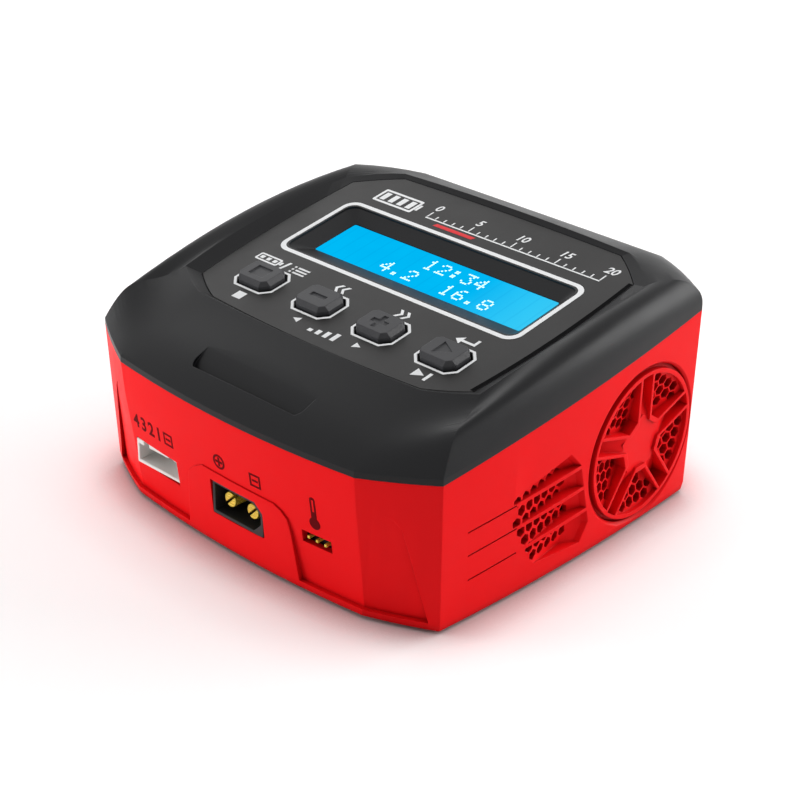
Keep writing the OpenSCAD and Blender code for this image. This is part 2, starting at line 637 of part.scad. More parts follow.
module control_chip() color(dark) on_plate() block(-14, 12, under - 1.6, 12, 12, 1.6);
module buzzer() color(dark) on_plate() translate([20, 16, under - 5]) cylinder(r = 4.5, h = 5);
module control_screws() color(steel) on_plate()
  for (x = [-post_x, post_x], v = [-post_front, post_back]) {
    translate([x, v, under]) cylinder(r = 1, h = board_t + 4, $fn = 24);
    translate([x, v, under - 1.2]) cylinder(r = 1.9, h = 1.2, $fn = 24);
  }

// flat cable between the two boards
link_w = 14;
link_v = -15;
link_h = 5;
link_y = -18;
link_top = [link_v * cos(plate_tilt) - (under - link_h) * sin(plate_tilt),
    plate_h + link_v * sin(plate_tilt) + (under - link_h) * cos(plate_tilt)];
cable_t = 0.9;
function cable(t) = [link_y * pow(1 - t, 3) + (link_y - 7) * 3 * t * pow(1 - t, 2)
    + (link_top[0] + 5) * 3 * t * t * (1 - t) + link_top[0] * pow(t, 3),
    board_top + link_h + t * (link_top[1] - board_top - link_h)];
module link_headers() color(dark) {
  lift() block(0, link_y, board_top, link_w, 4, link_h);
  on_plate() block(0, link_v, under - link_h, link_w, 4, link_h);
}
module ribbon_cable() lift() color([0.6, 0.6, 0.62]) rotate([90, 0, 90])
  linear_extrude(link_w - 2, center = true)
    polygon(concat([for (i = [0:12]) cable(i / 12) - [cable_t / 2, 0]],
                   [for (i = [12:-1:0]) cable(i / 12) + [cable_t / 2, 0]]));

// front sockets
out_front = wall_y(out_x, out_z) + 0.3;
bal_front = wall_y(bal_x, bal_z) + 1;
sens_front = wall_y(sens_x, sens_z) + 1.6;
sens_seat = 1.5;
sens_pitch = 2.5;
module output_housing() lift() color([0.9, 0.75, 0.2]) difference() {
  forward(out_x, out_front + 16, out_z, 16) output_shape(0, out_low_cut);
  forward(out_x, out_front + 9, out_z, 10) output_shape(-out_rim, out_cut);
}
module output_pins() lift() color(gold) for (s = [-1, 1])
  difference() {
    translate([out_x + s * out_pitch / 2 - 0.3, out_front + 9, out_z]) rotate([90, 0, 0])
      cylinder(r = 1.75, h = 7.6);
    translate([out_x + s * out_pitch / 2 - 0.3, out_front + 1, out_z]) rotate([0, 45, 0])
      translate([-0.25, 0, -3]) cube([0.5, 5, 6]);
  }
bal_len = 9;
bal_lip = 0.2;
bal_pin_rise = 0.5;
module balance_socket() lift() color(pale) difference() {
  union() {
    forward(bal_x, bal_front + bal_len, bal_z, bal_len) square([bal_w, bal_h], center = true);
    translate([bal_x - bal_w / 2, bal_front + bal_len / 2, board_top])
      cube([bal_w, bal_len / 2, bal_z - board_top]);
  }
  forward(bal_x, bal_front + 6.5, bal_z, 7) translate([0, -bal_lip])
    square([bal_w - 1.5, bal_h - 1.5 - 2 * bal_lip], center = true);
  for (s = [-1, 1])
    forward(bal_x + s * 4.2, bal_front + 3, bal_z + bal_h / 2, 4) square([1.7, 2.4], center = true);
}
module balance_pins() lift() color(steel) for (k = [-2:2])
  forward(bal_x + k * bal_pitch, bal_front + 6.5, bal_z + bal_pin_rise, 3.8) square(0.64, center = true);
module sensor_header() lift() color(dark)
  translate([sens_x - 4, sens_front + sens_seat, board_top]) cube([8, 5, sens_z + 1.4 - board_top]);
module sensor_pins() lift() color(gold) for (k = [-1:1])
  forward(sens_x + k * sens_pitch, sens_front + sens_seat, sens_z, sens_seat + 1) square(0.7, center = true);

// main board and its parts
module main_board() lift() color(green) difference() {
  translate([0, 0, board_z]) linear_extrude(board_t)
    polygon([[board_left, board_front + board_cut], [board_left + board_cut, board_front],
             [board_right - board_cut, board_front], [board_right, board_front + board_cut],
             [board_right, board_back], [board_left, board_back]]);
  for (p = stand_pts) translate([p[0], p[1], board_z - 1]) cylinder(r = 1 + thread_gap, h = 4);
}
module board_screws() lift() color(steel) for (p = stand_pts) {
  translate([p[0], p[1], board_z - 3]) cylinder(r = 1, h = 3 + board_t, $fn = 24);
  translate([p[0], p[1], board_top]) cylinder(r = 1.9, h = 1.3, $fn = 24);
}
inlet_face = back_y(inlet_x, inlet_z) - 1;
module inlet_slot(r) {
  square([inlet_pitch, 2 * r], center = true);
  for (s = [-1, 1]) translate([s * inlet_pitch / 2, 0]) circle(r = r);
}
module mains_inlet() lift() color(dark) difference() {
  forward(inlet_x, inlet_face, inlet_z, inlet_len) square([inlet_w, inlet_h], center = true);
  forward(inlet_x, inlet_face + 1, inlet_z, inlet_depth + 1) inlet_slot(4.2);
}
module mains_pins() lift() color(steel) for (s = [-1, 1])
  forward(inlet_x + s * inlet_pitch / 2, inlet_face - 2.5, inlet_z, 9.5) circle(r = 1.2, $fn = 24);

// mains side of the board, in a row from front to back along its left edge
choke_r = 8.5;
choke_h = 8;
choke_hole = 3.4;
choke_at = [board_left + 20.5, bal_front + bal_len + choke_r + 0.8];
bulk_r = 8;
bulk_h = 21;
bulk_at = [board_left + 14.5, choke_at[1] + 17];
x_cap = [18, 7, 13];
x_cap_at = [board_left + 17, bulk_at[1] + bulk_r + x_cap[1] / 2 + 2];
emi_r = 7;
emi_h = 9;
emi_hole = 2.6;
emi_at = [board_left + 17.5, 18.2];
fuse_r = 2.6;
fuse_len = 20;
fuse_at = [board_left + 5, 18];
bridge = [4, 13, 14];
bridge_at = [2, board_back - bridge[1] / 2 - 0.6];
module coil(at, r, hole, h) translate([at[0], at[1], board_top]) difference() {
  cylinder(r = r, h = h);
  translate([0, 0, -1]) cylinder(r = hole, h = h + 2);
}
module can(at, r, h) translate([at[0], at[1], board_top]) cylinder(r = r, h = h);
module brick(at, size) block(at[0], at[1], board_top, size[0], size[1], size[2]);
module fuse() lift() color(pale) translate([fuse_at[0], fuse_at[1], board_top + fuse_r])
  rotate([90, 0, 0]) cylinder(r = fuse_r, h = fuse_len);
module emi_choke() lift() color(copper) coil(emi_at, emi_r, emi_hole, emi_h);
module x_capacitor() lift() color([0.85, 0.7, 0.2]) brick(x_cap_at, x_cap);
module bridge_rectifier() lift() color(dark) brick(bridge_at, bridge);
module bulk_capacitor() lift() color(dark) can(bulk_at, bulk_r, bulk_h);
module output_inductor() lift() color(copper) coil(choke_at, choke_r, choke_hole, choke_h);

// transformer in the middle of the board
core_at = [5, 3];
core = [10, 28, 19];
core_leg = 3;
core_window = [7, 13];
core_post = 9;
bobbin_w = 18;
bobbin_d = 22.4;
bobbin_t = 2;
core_gap = 0.1;
module core_block(w, d, z, h) block(core_at[0], core_at[1], board_top + z, w, d, h);
module transformer_core() lift() color([0.25, 0.25, 0.27]) difference() {
  core_block(core[0], core[1], bobbin_t, core[2]);
  for (s = [-1, 1])
    block(core_at[0], core_at[1] + s * (core_post + core_window[0]) / 2, board_top + bobbin_t + core_leg,
          core[0] + 2, core_window[0], core_window[1]);
}
module transformer_bobbin() lift() color([0.9, 0.8, 0.3]) difference() {
  union() {
    core_block(bobbin_w, bobbin_d, bobbin_t + core_leg + core_gap, core_window[1] - 2 * core_gap);
    core_block(bobbin_w + 4, core[1] + 2, 0, bobbin_t);
    for (s = [-1, 1])
      block(core_at[0] + s * bobbin_w / 2, core_at[1], board_top, bobbin_t, bobbin_d,
            bobbin_t + core_leg + 1);
  }
  core_block(core[0] + 2 * core_gap, core_post + 2 * core_gap, bobbin_t + core_leg - 1, core[2]);
  for (s = [-1, 1])
    block(core_at[0], core_at[1] + s * (core_post / 2 + core_window[0] + 3 - core_gap),
          board_top + bobbin_t + 0.5, core[0] + 2 * core_gap, 6, core[2]);
}

// output side of the board along its right edge
sink = [3, 34, 19];
sink_at = [board_right - 13, -5];
fin = [7, 1.4, 17];
fin_pitch = 4.3;
tab = [4.5, 10, 15];
tab_y = [-14, 4];
tab_x = sink_at[0] - sink[0] / 2 - tab[0];
tab_screw_r = 2.2;
tab_screw_h = 1.5;
can_r = 4;
can_h = 12.5;
can_pts = [[12, -25], [board_right - 15.5, -28]];
resistor = [11, 3, 7];
resistor_pitch = 4;
module heatsink() lift() color([0.7, 0.72, 0.74]) {
  brick(sink_at, sink);
  for (k = [0:7])
    translate([sink_at[0] + sink[0] / 2, sink_at[1] - 16 + fin_pitch * k, board_top + sink[2] - fin[2]])
      cube(fin);
}
module power_transistors() lift() color(dark) for (y = tab_y)
  translate([tab_x, y - tab[1] / 2, board_top]) cube(tab);
module transistor_screws() lift() color(steel) for (y = tab_y)
  translate([tab_x - tab_screw_h, y, board_top + 12]) rotate([0, 90, 0])
    cylinder(r = tab_screw_r, h = tab_screw_h, $fn = 24);
module output_capacitors() lift() color(dark) for (p = can_pts) can(p, can_r, can_h);
module discharge_resistors() lift() color(pale) for (k = [0:3])
  brick([board_right - 13.5, board_back - 4.5 - resistor_pitch * k], resistor);

// fan
module fan_box(x, w, size) translate([x, fan_y - size / 2, fan_z - size / 2]) cube([w, size, size]);
module fan_disc(x, r, w) translate([x, fan_y, fan_z]) rotate([0, 90, 0]) cylinder(r = r, h = w);
module fan_frame() lift() color(dark) difference() {
  fan_box(fan_back, fan_t, fan_size);
  difference() {
    fan_disc(fan_back - 1, fan_size / 2 - 1, fan_t + 2);
    fan_disc(fan_back, hub_r, 1.4);
    for (a = [20, 110, 200, 290]) translate([fan_back, fan_y, fan_z]) rotate([a, 0, 0])
      translate([0, -1, 0]) cube([1.4, 2, fan_size / 2 + 1]);
  }
  translate([-1, 0, 0]) fan_disc(fan_back, 2.6, 4);
  for (a = [-1, 1], b = [-1, 1])
    translate([fan_back - 1, fan_y + a * fan_holes / 2, fan_z + b * fan_holes / 2])
      rotate([0, 90, 0]) cylinder(r = 1.3, h = fan_t + 2, $fn = 24);
}
module fan_bush() lift() color(copper) difference() {
  fan_disc(fan_back, 2.6, 6);
  fan_disc(fan_back + 0.6, shaft_r + shaft_gap, 6);
}
module fan_stator() lift() color(copper) difference() {
  fan_disc(fan_back + 1.4, 5.8, 4.2);
  fan_disc(fan_back + 1, 2.6, 6);
}
module fan_shaft() lift() color(steel) fan_disc(fan_back + 1, shaft_r, fan_t - 2.4);
module fan_rotor() lift() color(dark) {
  difference() {
    fan_disc(fan_back + 1.8, hub_r, fan_t - 2.6);
    fan_disc(fan_back + 1, hub_r - 1.2, 5.6);
    fan_disc(fan_back + 1, shaft_r, fan_t - 2.4);
  }
  for (k = [0:6]) intersection() {
    translate([fan_back + fan_t / 2 + 0.5, fan_y, fan_z]) rotate([360 / 7 * k, 0, 0])
      rotate([0, 0, 38]) translate([-4.3, -0.6, hub_r - 0.5]) cube([8.6, 1.2, rotor_r - hub_r + 2]);
    fan_disc(fan_back + 1.8, rotor_r, fan_t - 2.6);
  }
}
module fan_screws() lift() color(steel) for (a = [-1, 1], b = [-1, 1])
  translate([fan_back - 1.2, fan_y + a * fan_holes / 2, fan_z + b * fan_holes / 2]) rotate([0, 90, 0]) {
    cylinder(r = 2, h = 1.2, $fn = 24);
    cylinder(r = 0.9, h = fan_t + 4, $fn = 24);
  }
plug_y = 16;
lead_r = 0.9;
plug = [5, 6, 6];
plug_x = board_right - 4.3;
module fan_plug() lift() color(pale) brick([plug_x, plug_y], plug);
lead_from = [plug_x, plug_y, board_top + plug[2]];
lead_to = [fan_back + 3, fan_y - fan_size / 2 - lead_r / 2, fan_z - 6];
function lead(t) = bez(lead_from, lead_from + [0, 0, 8], lead_to + [-3, -9, 4], lead_to, t);
function unit(v) = v / norm(v);
function lead_ring(t) = let (d = unit(lead(t + 0.01) - lead(t - 0.01)), a = unit(cross([1, 0, 0], d)),
    b = cross(d, a)) [for (i = [0:9]) lead(t) + lead_r * (cos(36 * i) * a + sin(36 * i) * b)];
module fan_lead() lift() color(dark) skin([for (i = [0:10]) lead_ring(i / 10)]);

// fasteners and feet
module case_screws() lift() color(steel) for (p = case_pts) {
  translate([p[0], p[1], 0.5]) cylinder(r = head_r, h = head_h);
  translate([p[0], p[1], 0.5]) cylinder(r = screw_r, h = seam_z(p[1]) - meet_drop + 7);
}
module rubber_feet() color([0.1, 0.1, 0.1]) for (p = foot_pts)
  translate([p[0], p[1], 0]) cylinder(r = foot_r, h = foot_proud + foot_seat);

base_case();
fan_grille();
top_cover();
faceplate();
lcd_bezel();
lcd_glass();
lcd_frame();
lcd_backlight();
control_board();
control_chip();
buzzer();
link_headers();
ribbon_cable();
stop_key();
minus_key();
plus_key();
start_key();
stop_plunger();
minus_plunger();
plus_plunger();
start_plunger();
switch_bodies();
switch_covers();
control_screws();
output_housing();
output_pins();
balance_socket();
balance_pins();
sensor_header();
sensor_pins();
main_board();
mains_inlet();
mains_pins();
fuse();
emi_choke();
x_capacitor();
bridge_rectifier();
bulk_capacitor();
transformer_core();
transformer_bobbin();
heatsink();
power_transistors();
transistor_screws();
output_inductor();
output_capacitors();
discharge_resistors();
fan_frame();
fan_rotor();
fan_shaft();
fan_bush();
fan_stator();
fan_screws();
fan_lead();
fan_plug();
board_screws();
case_screws();
rubber_feet();
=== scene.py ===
# Looks of a desk-top balance charger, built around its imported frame.
import json
import math

import bmesh
import bpy
from mathutils import Matrix, Vector
from mathutils.bvhtree import BVHTree


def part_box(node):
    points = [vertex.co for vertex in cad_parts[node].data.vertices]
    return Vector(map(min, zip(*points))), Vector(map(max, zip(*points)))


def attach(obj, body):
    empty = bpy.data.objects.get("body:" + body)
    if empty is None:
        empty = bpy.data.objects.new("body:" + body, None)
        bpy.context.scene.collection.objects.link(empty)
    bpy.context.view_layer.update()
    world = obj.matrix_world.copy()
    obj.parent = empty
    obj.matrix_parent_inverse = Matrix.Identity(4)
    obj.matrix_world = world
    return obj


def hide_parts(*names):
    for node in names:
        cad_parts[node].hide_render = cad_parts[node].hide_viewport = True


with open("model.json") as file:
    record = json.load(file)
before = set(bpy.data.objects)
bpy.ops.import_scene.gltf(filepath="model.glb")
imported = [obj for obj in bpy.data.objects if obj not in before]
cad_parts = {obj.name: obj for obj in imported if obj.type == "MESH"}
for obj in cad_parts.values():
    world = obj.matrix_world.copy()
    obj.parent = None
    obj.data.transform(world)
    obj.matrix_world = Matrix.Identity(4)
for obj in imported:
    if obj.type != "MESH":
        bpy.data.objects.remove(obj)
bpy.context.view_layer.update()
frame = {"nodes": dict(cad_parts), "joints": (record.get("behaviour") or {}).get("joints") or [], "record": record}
nodes = frame["nodes"]
MM = 0.001

# Camera at the photograph's viewing angle, for an image 800 pixels wide
VIEW_AZIMUTH = 44.4
VIEW_ELEVATION = 26.66
VIEW_DISTANCE = 0.4497
VIEW_TARGET = Vector((0, 0, 0.0288))
FOCAL_PIXELS = 1987
CENTRE_PIXEL = (397.65, 366.04)
IMAGE_SIZE = 800
SENSOR = 36

# The sloping plate that carries the display and the keys, as a frame of its own
press_axis = next(joint["axis"] for joint in frame["joints"] if joint["name"] == "stop_press")
PLATE_OUT = -Vector(press_axis).normalized()
PLATE_RIGHT = Vector((1, 0, 0))
PLATE_UP = PLATE_OUT.cross(PLATE_RIGHT)
plate_level = max(vertex.co.dot(PLATE_OUT) for vertex in nodes["faceplate"].data.vertices)
PLATE_ORIGIN = Vector((0, 0, plate_level / PLATE_OUT.z))
PLATE_TURN = Matrix((PLATE_RIGHT, PLATE_UP, PLATE_OUT)).transposed().to_4x4()
PLATE = Matrix.Translation(PLATE_ORIGIN) @ PLATE_TURN
KEYS = ("stop", "minus", "plus", "start")


def points_on_plate(node):
    """A node's corners, in millimetres across, up and out of the plate."""
    flat = PLATE.inverted()
    return [flat @ vertex.co / MM for vertex in nodes[node].data.vertices]


def span_on_plate(node):
    """Lowest and highest corner of a node, in millimetres along the plate."""
    points = points_on_plate(node)
    return [[pick(point[axis] for point in points) for axis in range(3)] for pick in (min, max)]


def middle_on_plate(node):
    low, high = span_on_plate(node)
    return (low[0] + high[0]) / 2, (low[1] + high[1]) / 2


# Materials
def srgb(red, green, blue):
    """Linear colour of an 8-bit screen colour."""
    parts = [c / 255 for c in (red, green, blue)]
    return [c / 12.92 if c <= 0.04045 else ((c + 0.055) / 1.055) ** 2.4 for c in parts] + [1]


def shade(colour, amount):
    return [min(1, c * amount) for c in colour[:3]] + [1]


class Finish:
    """A material with one principled shader and the helpers that feed it."""

    def __init__(self, name, **settings):
        self.material = bpy.data.materials.new(name)
        self.material.use_nodes = True
        self.tree = self.material.node_tree
        self.shader = self.tree.nodes["Principled BSDF"]
        for key, value in settings.items():
            self.shader.inputs[key.replace("_", " ")].default_value = value
        self.place = self.node("ShaderNodeTexCoord").outputs["Object"]

    def node(self, kind, inputs=None, **settings):
        made = self.tree.nodes.new(kind)
        for key, value in settings.items():
            setattr(made, key, value)
        for key, value in (inputs or {}).items():
            self.feed(value, made.inputs[key])
        return made

    def feed(self, value, socket):
        if isinstance(value, bpy.types.NodeSocket):
            self.tree.links.new(value, socket)
        else:
            socket.default_value = value

    def link(self, value, name):
        self.feed(value, self.shader.inputs[name])

    def noise(self, size, detail=3, rough=0.55, place=None):
        """Noise whose lumps are about size metres across."""
        inputs = {"Vector": place or self.place, "Scale": 1 / size, "Detail": detail, "Roughness": rough}
        return self.node("ShaderNodeTexNoise", inputs).outputs["Fac"]

    def ramp(self, value, low, high, to_low, to_high):
        inputs = {"Value": value, "From Min": low, "From Max": high, "To Min": to_low, "To Max": to_high}
        return self.node("ShaderNodeMapRange", inputs).outputs["Result"]

    def math(self, operation, first, second=0.0):
        return self.node("ShaderNodeMath", {0: first, 1: second}, operation=operation).outputs[0]

    def mix(self, share, first, second):
        made = self.node("ShaderNodeMix", {0: share, 6: first, 7: second}, data_type="RGBA")
        return made.outputs[2]

    def bump(self, height, depth, strength=1.0, normal=None):
        inputs = {"Height": height, "Distance": depth, "Strength": strength}
        if normal:
            inputs["Normal"] = normal
        return self.node("ShaderNodeBump", inputs).outputs["Normal"]

    def rounded(self, radius):
        """Normal that rounds sharp edges over the given radius."""
        return self.node("ShaderNodeBevel", {"Radius": radius}, samples=6).outputs["Normal"]

    def openness(self, reach):
        """One on open surfaces, less in recesses within reach."""
        made = self.node("ShaderNodeAmbientOcclusion", {"Distance": reach}, samples=8)
        return made.outputs["AO"]

    def edge_share(self, radius, gain):
        """One along sharp edges and nought on flat faces."""
        flat = self.node("ShaderNodeNewGeometry").outputs["Normal"]
        inputs = {0: self.rounded(radius), 1: flat}
        dot = self.node("ShaderNodeVectorMath", inputs, operation="DOT_PRODUCT").outputs["Value"]
        return self.ramp(dot, 1, 1 - gain, 0, 1)


RECESS_REACH = 0.0035
RECESS_SHADE = 0.06
EDGE_GAIN = 0.35


def moulded(name, colour, rough, grain, depth, edge=1.25, radius=0.0003, blotch=0.05, shadow=0.0,
            **settings):
    """Moulded plastic: fine texture, faint clouds, a painted highlight along sharp edges and, with shadow, painted
    shade in recesses.
    """
    finish = Finish(name, **settings)
    cloud = finish.noise(0.03, detail=4)
    body = finish.mix(cloud, shade(colour, 1 - blotch), shade(colour, 1 + blotch))
    # Paler colour along sharp edges, broken up by noise: a painted edge highlight.
    edge_highlight = finish.math("MULTIPLY", finish.edge_share(radius, EDGE_GAIN), finish.noise(0.004))
    surface = finish.mix(edge_highlight, body, shade(colour, edge))
    if shadow:
        # Painted shade: in recesses, by ambient occlusion, the colour darkens towards a deep shade of itself.
        painted_recess_shade = finish.ramp(finish.openness(RECESS_REACH), 0.25, 0.85, shadow, 0)
        surface = finish.mix(painted_recess_shade, surface, shade(colour, RECESS_SHADE))
    finish.link(surface, "Base Color")
    texture = finish.noise(grain, detail=2, rough=0.6)
    smudge = finish.noise(0.012, detail=5)
    finish.link(finish.ramp(smudge, 0.3, 0.7, rough - 0.04, rough + 0.05), "Roughness")
    finish.link(finish.bump(texture, depth, normal=finish.rounded(radius)), "Normal")
    return finish.material


STREAK_GRAIN = 0.0004
METAL_EDGE = 0.0001


def metal(name, colour, rough, stretch=8.0, metallic=1.0):
    """Plated or drawn metal with fine streaks along X and tarnish in patches."""
    finish = Finish(name, Metallic=metallic)
    lengthwise = {"Vector": finish.place, "Scale": (1 / stretch, 1, 1)}
    streaked = finish.node("ShaderNodeMapping", lengthwise).outputs["Vector"]
    streaks = finish.noise(STREAK_GRAIN, detail=4, place=streaked)
    tarnish = finish.ramp(finish.noise(0.005, detail=5), 0.45, 0.75, 0, 1)
    finish.link(finish.mix(tarnish, colour, shade(colour, 0.72)), "Base Color")
    finish.link(finish.ramp(streaks, 0.3, 0.7, rough * 0.75, rough * 1.3), "Roughness")
    finish.link(finish.bump(streaks, 0.00001, 0.6, finish.rounded(METAL_EDGE)), "Normal")
    return finish.material


def circuit_board(name):
    """Green solder mask over copper tracks, with round solder pads."""
    finish = Finish(name, Specular_IOR_Level=0.5, Coat_Weight=0.3, Coat_Roughness=0.15)
    mask = srgb(18, 92, 52)
    cells = {"Vector": finish.place, "Scale": 350}
    routes = finish.node("ShaderNodeTexVoronoi", cells, distance="MANHATTAN", feature="F2")
    folded = finish.math("PINGPONG", routes.outputs["Distance"], 0.16)
    tracks = finish.ramp(folded, 0.06, 0.09, 0, 1)
    pads = finish.node("ShaderNodeTexVoronoi", {"Vector": finish.place, "Scale": 260})
    soldered = finish.ramp(pads.outputs["Distance"], 0.14, 0.17, 1, 0)
    green = finish.mix(tracks, mask, shade(mask, 1.6))
    finish.link(finish.mix(soldered, green, srgb(196, 198, 200)), "Base Color")
    finish.link(finish.ramp(soldered, 0, 1, 0.42, 0.25), "Roughness")
    finish.link(finish.bump(finish.math("ADD", tracks, soldered), 0.00004), "Normal")
    return finish.material


def enamelled_wire(name):
    """Turns of enamelled copper wire round a ring."""
    finish = Finish(name, Metallic=0.85, Coat_Weight=0.5, Coat_Roughness=0.12)
    inputs = {"Vector": finish.place, "Scale": 420, "Distortion": 0.6, "Detail": 1}
    turns = finish.node("ShaderNodeTexWave", inputs, bands_direction="DIAGONAL").outputs["Fac"]
    copper = srgb(196, 112, 58)
    finish.link(finish.mix(turns, shade(copper, 0.35), copper), "Base Color")
    finish.link(finish.ramp(turns, 0, 1, 0.5, 0.28), "Roughness")
    finish.link(finish.bump(turns, 0.0002), "Normal")
    return finish.material


def ribbon(name):
    """Flat cable: parallel conductors side by side."""
    finish = Finish(name, Specular_IOR_Level=0.4)
    inputs = {"Vector": finish.place, "Scale": 250, "Distortion": 0}
    wires = finish.node("ShaderNodeTexWave", inputs, bands_direction="X").outputs["Fac"]
    grey = srgb(150, 152, 156)
    finish.link(finish.mix(wires, shade(grey, 0.6), grey), "Base Color")
    finish.link(finish.ramp(finish.noise(0.006), 0.3, 0.7, 0.42, 0.55), "Roughness")
    finish.link(finish.bump(wires, 0.0002), "Normal")
    return finish.material


def rubber(name, colour, rough):
    """Dull rubber with dust in patches."""
    finish = Finish(name, Specular_IOR_Level=0.3)
    dust = finish.ramp(finish.noise(0.003, detail=5), 0.5, 0.8, 0, 0.5)
    finish.link(finish.mix(dust, colour, shade(colour, 2.4)), "Base Color")
    finish.link(finish.ramp(finish.noise(0.004), 0.3, 0.7, rough - 0.06, rough + 0.06), "Roughness")
    finish.link(finish.bump(finish.noise(0.0005), 0.00005), "Normal")
    return finish.material


FADE_FROM, FADE_TO = 0.012, 0.033
FADE_SHARE = 0.4
CLOUD_SHARE = 0.45
GRID_LINE = 0.09
GRID_SHARE = 0.16


def lit_window(name, cell):
    """Back-lit liquid crystal: a cyan glow, paler to the right, with a faint grid of cells."""
    finish = Finish(name, Specular_IOR_Level=0.0, Emission_Strength=0.97)
    turn = {"Vector": finish.place, "Rotation": (-math.atan2(PLATE_UP.z, PLATE_UP.y), 0, 0)}
    flat = finish.node("ShaderNodeMapping", turn).outputs["Vector"]
    axes = finish.node("ShaderNodeSeparateXYZ", {"Vector": flat})
    across = finish.math("PINGPONG", axes.outputs["X"], cell / 2)
    gaps = finish.ramp(across, 0, cell * GRID_LINE, 1, 0)
    clouds = finish.ramp(finish.noise(0.016, detail=3), 0.35, 0.65, 0, 1)
    edge = finish.ramp(axes.outputs["X"], FADE_FROM, FADE_TO, 0, FADE_SHARE)
    cloudy = finish.math("MULTIPLY", clouds, CLOUD_SHARE)
    glow = finish.mix(cloudy, srgb(0, 190, 250), srgb(0, 176, 240))
    faded = finish.mix(edge, glow, srgb(92, 228, 250))
    grid = finish.math("MULTIPLY", gaps, GRID_SHARE)
    finish.link(finish.mix(grid, faded, srgb(0, 142, 216)), "Emission Color")
    finish.link(finish.mix(clouds, srgb(0, 14, 22), srgb(0, 22, 34)), "Base Color")
    finish.link(finish.ramp(finish.noise(0.01), 0.3, 0.7, 0.2, 0.3), "Roughness")
    return finish.material


def printed(name, colour, rough=0.45, glow=0.0, gloss=0.35):
    """Screen-printed ink: nearly even, with a slight mottle and a thin edge."""
    finish = Finish(name, Specular_IOR_Level=gloss, Emission_Strength=glow)
    mottle = finish.noise(0.0012, detail=4)
    ink = finish.mix(mottle, shade(colour, 0.93), colour)
    finish.link(ink, "Base Color")
    if glow:
        finish.link(ink, "Emission Color")
    finish.link(finish.ramp(mottle, 0.3, 0.7, rough - 0.05, rough + 0.05), "Roughness")
    finish.link(finish.bump(finish.noise(0.0002), 0.00001), "Normal")
    return finish.material


RED = srgb(240, 20, 25)
BLACK = srgb(17, 17, 19)
WINDOW_CELLS = 17.5
lcd_low, lcd_high = span_on_plate("lcd_glass")
CELL_PITCH = (lcd_high[0] - lcd_low[0]) / WINDOW_CELLS
# In each moulded finish, edge sets the colour of the painted highlight along sharp edges.
FINISHES = {
    "red_shell": moulded("red_plastic", RED, 0.4, 0.0003, 0.000012, edge=1.2, shadow=0.55,
                         Specular_IOR_Level=0.05),
    "black_cover": moulded("black_satin", BLACK, 0.36, 0.00026, 0.00002, edge=4.0,
                           Specular_IOR_Level=0.22),
    "face_sheet": moulded("face_film", srgb(27, 26, 26), 0.42, 0.0002, 0.00001, edge=1.6,
                          Specular_IOR_Level=0.4),
    "bezel_black": moulded("bezel_gloss", srgb(16, 16, 18), 0.36, 0.0003, 0.000004, edge=1.6, blotch=0,
                           Specular_IOR_Level=0.3),
    "lcd_blue": lit_window("lit_window", CELL_PITCH * MM),
    "key_grey": moulded("key_plastic", srgb(44, 44, 47), 0.44, 0.0003, 0.00002, edge=2.4,
                        radius=0.00018),
    "plated_steel": metal("plated_steel", srgb(196, 198, 202), 0.3),
    "light_box": moulded("light_box", srgb(228, 230, 226), 0.4, 0.0006, 0.00001, edge=1.0),
    "board_green": circuit_board("circuit_board"),
    "black_part": moulded("black_part", srgb(26, 26, 28), 0.45, 0.0003, 0.00002, edge=2.2,
                          radius=0.00015),
    "grey_cable": ribbon("flat_cable"),
    "white_part": moulded("white_nylon", srgb(236, 236, 232), 0.4, 0.0005, 0.00001, edge=1.0,
                          radius=0.00012),
    "gold_contact": metal("gold_contact", srgb(236, 206, 74), 0.24, metallic=0.4),
    "fuse_glass": moulded("fuse_ceramic", srgb(214, 210, 196), 0.35, 0.0005, 0.00001, edge=1.0),
    "copper_wire": enamelled_wire("copper_wire"),
    "yellow_case": moulded("yellow_case", srgb(206, 172, 52), 0.42, 0.0005, 0.00002),
    "can_sleeve": moulded("can_sleeve", srgb(24, 28, 44), 0.32, 0.0008, 0.00001, edge=1.8),
    "ferrite": moulded("ferrite", srgb(58, 56, 56), 0.6, 0.0004, 0.00005, edge=1.5),
    "bare_aluminium": metal("bare_aluminium", srgb(186, 188, 190), 0.38, stretch=3.0),
    "bush_bronze": metal("bush_bronze", srgb(172, 126, 70), 0.4),
    "lead_black": rubber("lead_sleeve", srgb(24, 24, 26), 0.5),
    "foot_rubber": rubber("foot_rubber", srgb(28, 28, 29), 0.8),
}
for part in frame["record"]["subparts"]:
    cad_mesh = nodes[part["node"]].data
    cad_mesh.materials.clear()
    cad_mesh.materials.append(FINISHES[part["material_slot"]])
WHITE_INK = printed("white_ink", srgb(238, 239, 240))
RED_INK = printed("red_ink", srgb(222, 38, 46))
# Dark red for painted shade: it stands for the shade inside sunk marks on the red wall.
SUNK_MARK_SHADE = printed("sunk_mark_shade", srgb(98, 5, 10), rough=0.6, gloss=0.05)
DOT_INK = printed("display_dots", srgb(206, 240, 252), glow=0.8)
# Near-black ink for the painted shadow strip beside the plate's rim.
RIM_SHADE_INK = printed("rim_shade_ink", srgb(7, 7, 8), rough=0.8, gloss=0.05)


# Pieces that stand for visible nodes, with welded, smooth and rounded surfaces
def link_piece(name, mesh, body):
    piece = bpy.data.objects.new(name, mesh)
    bpy.context.scene.collection.objects.link(piece)
    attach(piece, body)
    return piece


WELD = 0.000002
FLAT_ANGLE = 0.1
BEVEL_ANGLE = 25
BEVEL_SEGMENTS = 2


